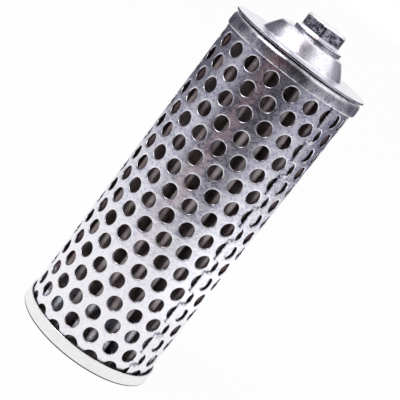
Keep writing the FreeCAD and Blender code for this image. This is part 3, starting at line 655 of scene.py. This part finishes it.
# Inner pieces: the core tube of galvanised sheet, the cured resin and the rubber seal hold the pack,
# and the bolt clamps the valve's turned and pressed parts. They keep their CAD shape.
resin = Finish("potting_resin", Roughness=0.4)
resin.set("Base Color", resin.mix(resin.cloud(120.0), (0.05, 0.045, 0.04), (0.10, 0.09, 0.08)))
rubber = Finish("nitrile_rubber", Roughness=0.6)
rubber.set("Base Color", rubber.mix(rubber.cloud(400.0), (0.02, 0.02, 0.02), (0.04, 0.04, 0.042)))
turned_metal = Finish("turned_metal", Metallic=1.0, Roughness=0.35)
turned_cloud = turned_metal.cloud(200.0)
turned_metal.set("Base Color", turned_metal.mix(turned_cloud, (0.62, 0.62, 0.64), (0.78, 0.78, 0.80)))
nut_steel = Finish("nut_steel", Metallic=1.0)
nut_cloud = nut_steel.cloud(500.0, 4.0)
nut_clean = nut_cloud.between(0.35, 0.65)
nut_steel.set("Base Color", nut_steel.mix(nut_clean, (0.42, 0.42, 0.46), (0.70, 0.70, 0.73)))
nut_steel.set("Roughness", 0.25 + 0.15 * nut_cloud)
inner_finishes = {
    "core_tube": zinc,
    "pleat_seam_clip": turned_metal,
    "bottom_resin": resin,
    "top_resin": resin,
    "inlet_seal": rubber,
    "valve_spider": turned_metal,
    "guide_sleeve": turned_metal,
    "upper_spring_seat": turned_metal,
    "bypass_poppet": turned_metal,
    "poppet_seal": rubber,
    "split_washer": nut_steel,
    "lock_nut": nut_steel,
}
for node, finish in inner_finishes.items():
    cad_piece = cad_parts[node]
    cad_piece.data.materials.clear()
    cad_piece.data.materials.append(finish.material)


# Bypass spring: coiled from drawn steel wire, it stands on the poppet, round its hub. As the poppet
# lifts, the coil shortens against the washer under the dome.
spring_low, spring_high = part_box("bypass_spring")
spring_wire, spring_turns, steps_per_turn = 1.4 * mm, 5.5, 24
coil_radius = (spring_high.y - spring_low.y - spring_wire) / 2
spring_length = spring_high.z - spring_low.z
coil_steps = int(spring_turns * steps_per_turn)
step_rise = (spring_length - spring_wire) / coil_steps
spring = bmesh.new()
bmesh.ops.create_circle(spring, segments=12, radius=spring_wire / 2)
bmesh.ops.rotate(spring, matrix=Matrix.Rotation(math.radians(90), 3, "X"), verts=spring.verts)
bmesh.ops.translate(spring, vec=(coil_radius, 0, spring_low.z + spring_wire / 2), verts=spring.verts)
bmesh.ops.spin(spring, geom=spring.verts[:] + spring.edges[:], axis=(0, 0, 1), cent=(0, 0, 0),
               dvec=(0, 0, step_rise), angle=math.tau * spring_turns, steps=coil_steps)
bmesh.ops.holes_fill(spring, edges=[edge for edge in spring.edges if edge.is_boundary])
bmesh.ops.translate(spring, vec=(bolt_middle, 0, 0), verts=spring.verts)
bmesh.ops.recalc_face_normals(spring, faces=spring.faces)
coil = add_piece(spring, "coil_spring", nut_steel, replaced=["bypass_spring"],
                 sharp_angle=60)
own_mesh(coil)


# Floor and sky: a pale table under a white sky and one large soft lamp. Camera and mirrors see both as
# white, and the light that falls on the element from the sky is a little less.
class Studio(Nodes):
    """The nodes of a part of the studio, which looks different to different kinds of ray."""

    def __init__(self, tree):
        super().__init__(tree)
        self.camera_ray, self.glossy_ray, self.clear_ray = (
            self.node("ShaderNodeLightPath", {}, {}, f"Is {kind} Ray")
            for kind in ("Camera", "Glossy", "Transmission"))

    def show(self, factor, first, second):
        """Show the first shader at 0, the second at 1."""
        mixed = self.node("ShaderNodeMixShader", {}, {0: factor, 1: first, 2: second})
        self.feed(self.tree.nodes["Material Output"].inputs["Surface"], mixed)


def studio_material(name):
    """A material with no shader yet, and its nodes."""
    material = bpy.data.materials.new(name)
    material.use_nodes = True
    material.node_tree.nodes.remove(material.node_tree.nodes["Principled BSDF"])
    return material, Studio(material.node_tree)


def add_stage(bm, name, material):
    """Put a piece of the studio in the scene."""
    mesh = bpy.data.meshes.new(name)
    bm.to_mesh(mesh)
    bm.free()
    mesh.materials.append(material)
    prop = bpy.data.objects.new(name, mesh)
    scene.collection.objects.link(prop)


white_colour = (1.0, 1.0, 1.0)
seen_white, mirrored_white = 0.96, 0.9
floor_half = 6.0
pale_floor, pale = studio_material("pale_floor")
white = pale.node("ShaderNodeEmission", {}, {"Color": white_colour, "Strength": 1.0})
table = pale.node("ShaderNodeBsdfDiffuse", {}, {"Color": (0.85, 0.85, 0.85)})
whiteness = seen_white * pale.camera_ray + mirrored_white * (pale.glossy_ray + pale.clear_ray)
pale.show(whiteness, table, white)
floor = bmesh.new()
bmesh.ops.create_grid(floor, x_segments=1, y_segments=1, size=floor_half)
add_stage(floor, "floor", pale_floor)

sky_fill = 0.6
world = bpy.data.worlds.new("world")
world.use_nodes = True
scene.world = world
sky = Studio(world.node_tree)
background = sky.tree.nodes["Background"]
seen = sky.math("MINIMUM", sky.camera_ray + sky.glossy_ray + sky.clear_ray, 1.0)
sky.feed(background.inputs["Color"], white_colour)
sky.feed(background.inputs["Strength"], sky_fill + (1.0 - sky_fill) * seen)

key_place, key_lean = Vector((-0.5, -0.4, 0.8)), Vector((-0.5, -0.4, 0.7))
key_data = bpy.data.lights.new("key", "AREA")
key_data.shape = "RECTANGLE"
key_data.size, key_data.size_y = 0.6, 0.4
key_data.energy = 4.0
key = bpy.data.objects.new("key", key_data)
key.matrix_world = Matrix.Translation(key_place) @ key_lean.to_track_quat("Z", "Y").to_matrix().to_4x4()
scene.collection.objects.link(key)


# Tent: a dome that only the metal mirrors. It is dark grey, with a pale card at each side, a light
# overhead that has a dark gap in front, a white opening behind, a rosy strip, and the bright table
# round its foot. Bearings from the front and climbs are in radians, and a tone of 1 is white.
tent_near, tent_radius, tent_centre = 0.14, 1.3, 0.1
tent_slices, tent_rings = 64, 12
grey_tone, upper_drop = 0.055, 0.03
left_card_tone, right_card_tone, upper_card_drop = 0.44, 0.42, 0.4
left_tall_tone, right_tall_tone = 0.3, 0.6
rear_tone, overhead_tone, opening_tone, rosy_tone = 0.08, 1.3, 1.0, 0.09
overhead_climb, overhead_side_drop, overhead_blur = 0.82, 0.24, 0.25
gap_climb, gap_wide, gap_tall, gap_tone = 1.19, 0.08, 1.5, 0.04
table_reach, table_side_reach, table_rear_reach = 0.44, 0.31, 0.1
table_front_tone, table_right_gain, table_left_loss = 1.08, 0.16, 0.13
cool_tint, rosy_tint, white_tint = (0.92, 0.88, 1.12), (1.5, 0.84, 0.95), (1.0, 1.0, 1.02)

grey_tent, tent = studio_material("grey_tent")
tent_x, tent_y, tent_z = tent.split()
away = (tent_x * tent_x + tent_y * tent_y).root()
to_right = tent.math("ARCTAN2", tent_x, tent_y * -1.0)
to_left = to_right * -1.0
sideways = tent.math("ABSOLUTE", to_right)
climb = tent.math("ARCTAN2", tent_z - tent_centre, away)

left_card = to_left.band(rise=(0.66, 1.2), fall=(1.25, 1.75), fade=0.9)
right_card = to_right.band(rise=(0.38, 0.82), fall=(1.5, 2.2), fade=0.7)
cards = left_card_tone * left_card + right_card_tone * right_card
tall_cards = left_tall_tone * left_card + right_tall_tone * right_card
upper, tall = climb.between(-0.1, 0.0), climb.between(0.1, 0.5)
tone = grey_tone - upper_drop * upper + cards * (1.0 - upper_card_drop * upper) + tall_cards * tall
tone = tone + rear_tone * upper * sideways.between(1.5, 2.0)
overhead_edge = overhead_climb - overhead_side_drop * sideways.between(0.3, 1.2)
overhead = climb.between(overhead_edge, overhead_edge + overhead_blur)
tone = tone + (overhead_tone - tone) * overhead
gap_rise = climb - gap_climb
from_gap = (gap_wide * to_right * to_right + gap_tall * gap_rise * gap_rise).root()
tone = tone * (gap_tone + (1.0 - gap_tone) * from_gap.between(0.13, 0.3))
opening = sideways.between(2.75, 2.95) * climb.between(-0.05, 0.05)
tone = tone + (opening_tone - tone) * opening
rosy = to_left.band(rise=(0.1, 0.28), fall=(0.42, 0.62))
tone = tone + rosy_tone * rosy
table_edge = table_reach + table_side_reach * sideways.between(0.5, 1.3)
table_edge = table_edge + table_rear_reach * sideways.between(0.9, 1.5)
table_tone = table_front_tone + table_right_gain * to_right.between(0.5, 1.5)
table_tone = table_tone - table_left_loss * to_left.between(0.6, 1.4)
tone = tone + (table_tone - tone) * (1.0 - away.between(tent_near, table_edge))
dark_tint = tent.mix(rosy, cool_tint, rosy_tint)
tent_tint = tent.mix(tone.between(0.0, 1.0), dark_tint, white_tint)
clear = tent.node("ShaderNodeBsdfTransparent", {}, {})
shade = tent.node("ShaderNodeEmission", {}, {"Color": tent_tint, "Strength": tone})
tent.show(tent.glossy_ray, clear, shade)

cloth = bmesh.new()
outline = [cloth.verts.new((reach, 0, 1.0 * mm)) for reach in (tent_near * 0.9, tent_radius)]
for ring in range(1, tent_rings + 1):
    rise = math.radians(90) * ring / tent_rings
    outline.append(cloth.verts.new((tent_radius * math.cos(rise), 0, tent_radius * math.sin(rise))))
for start, end in zip(outline, outline[1:]):
    cloth.edges.new((start, end))
bmesh.ops.spin(cloth, geom=cloth.verts[:] + cloth.edges[:], axis=(0, 0, 1), cent=(0, 0, 0),
               angle=math.tau, steps=tent_slices, use_merge=True)
add_stage(cloth, "tent", grey_tent)

scene.view_settings.view_transform = "Standard"
